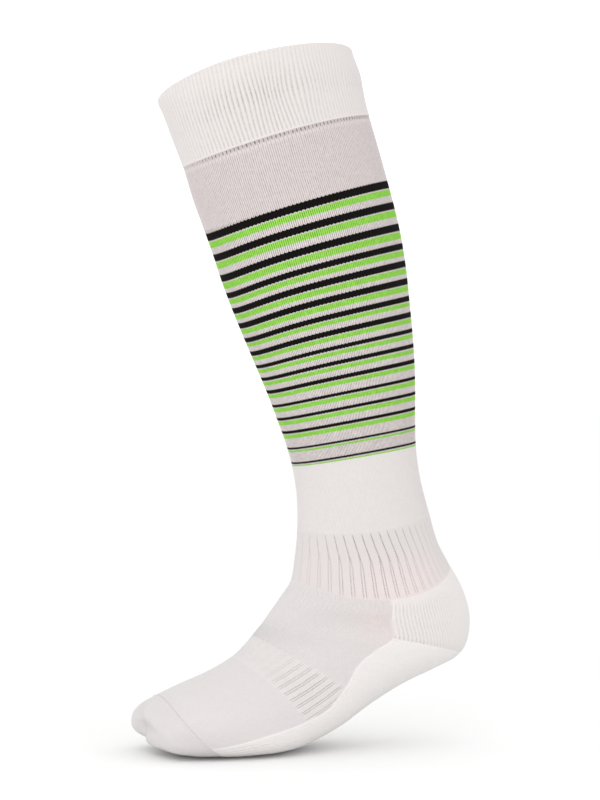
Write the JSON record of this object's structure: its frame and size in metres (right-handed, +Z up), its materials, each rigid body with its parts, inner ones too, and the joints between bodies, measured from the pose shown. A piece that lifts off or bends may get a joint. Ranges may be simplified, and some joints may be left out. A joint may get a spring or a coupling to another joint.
{
  "type": "knee-high sports sock",
  "caption": "Knee-high knitted left sports sock in worn form, open at a double ribbed cuff, with a ringed calf, ribbed ankle and arch, turned heel, cushioned sole and closed toe.",
  "frame": {"origin": "centre of the mouth of the cuff, where the leg goes in and holds the sock up", "axes": "+Z up with the ball of the foot down, +X forward to the toes, +Y to the outer side of the left foot"},
  "size_m": [0.2387, 0.1276, 0.4855],
  "materials": {
    "cuff": "double ribbed knit, off-white",
    "upper_calf": "plain knit, pale mauve grey",
    "striped_calf": "plain knit with black and green rings on white",
    "lower_leg": "plain knit, off-white",
    "ankle_rib": "wide elastic rib, off-white",
    "heel": "cushioned terry knit, off-white",
    "instep": "fine plain knit, off-white",
    "arch_band": "wide elastic rib, off-white",
    "forefoot": "fine plain knit, off-white",
    "sole": "cushioned terry knit, off-white",
    "toe_cap": "plain knit with a linked seam, off-white"
  },
  "bodies": {
    "root": {"cuff": "cuff", "upper_calf": "upper_calf", "striped_calf": "striped_calf", "lower_leg": "lower_leg", "ankle_rib": "ankle_rib", "heel": "heel", "instep": "instep", "arch_band": "arch_band", "forefoot": "forefoot", "sole": "sole", "toe_cap": "toe_cap"}
  },
  "joints": []
}
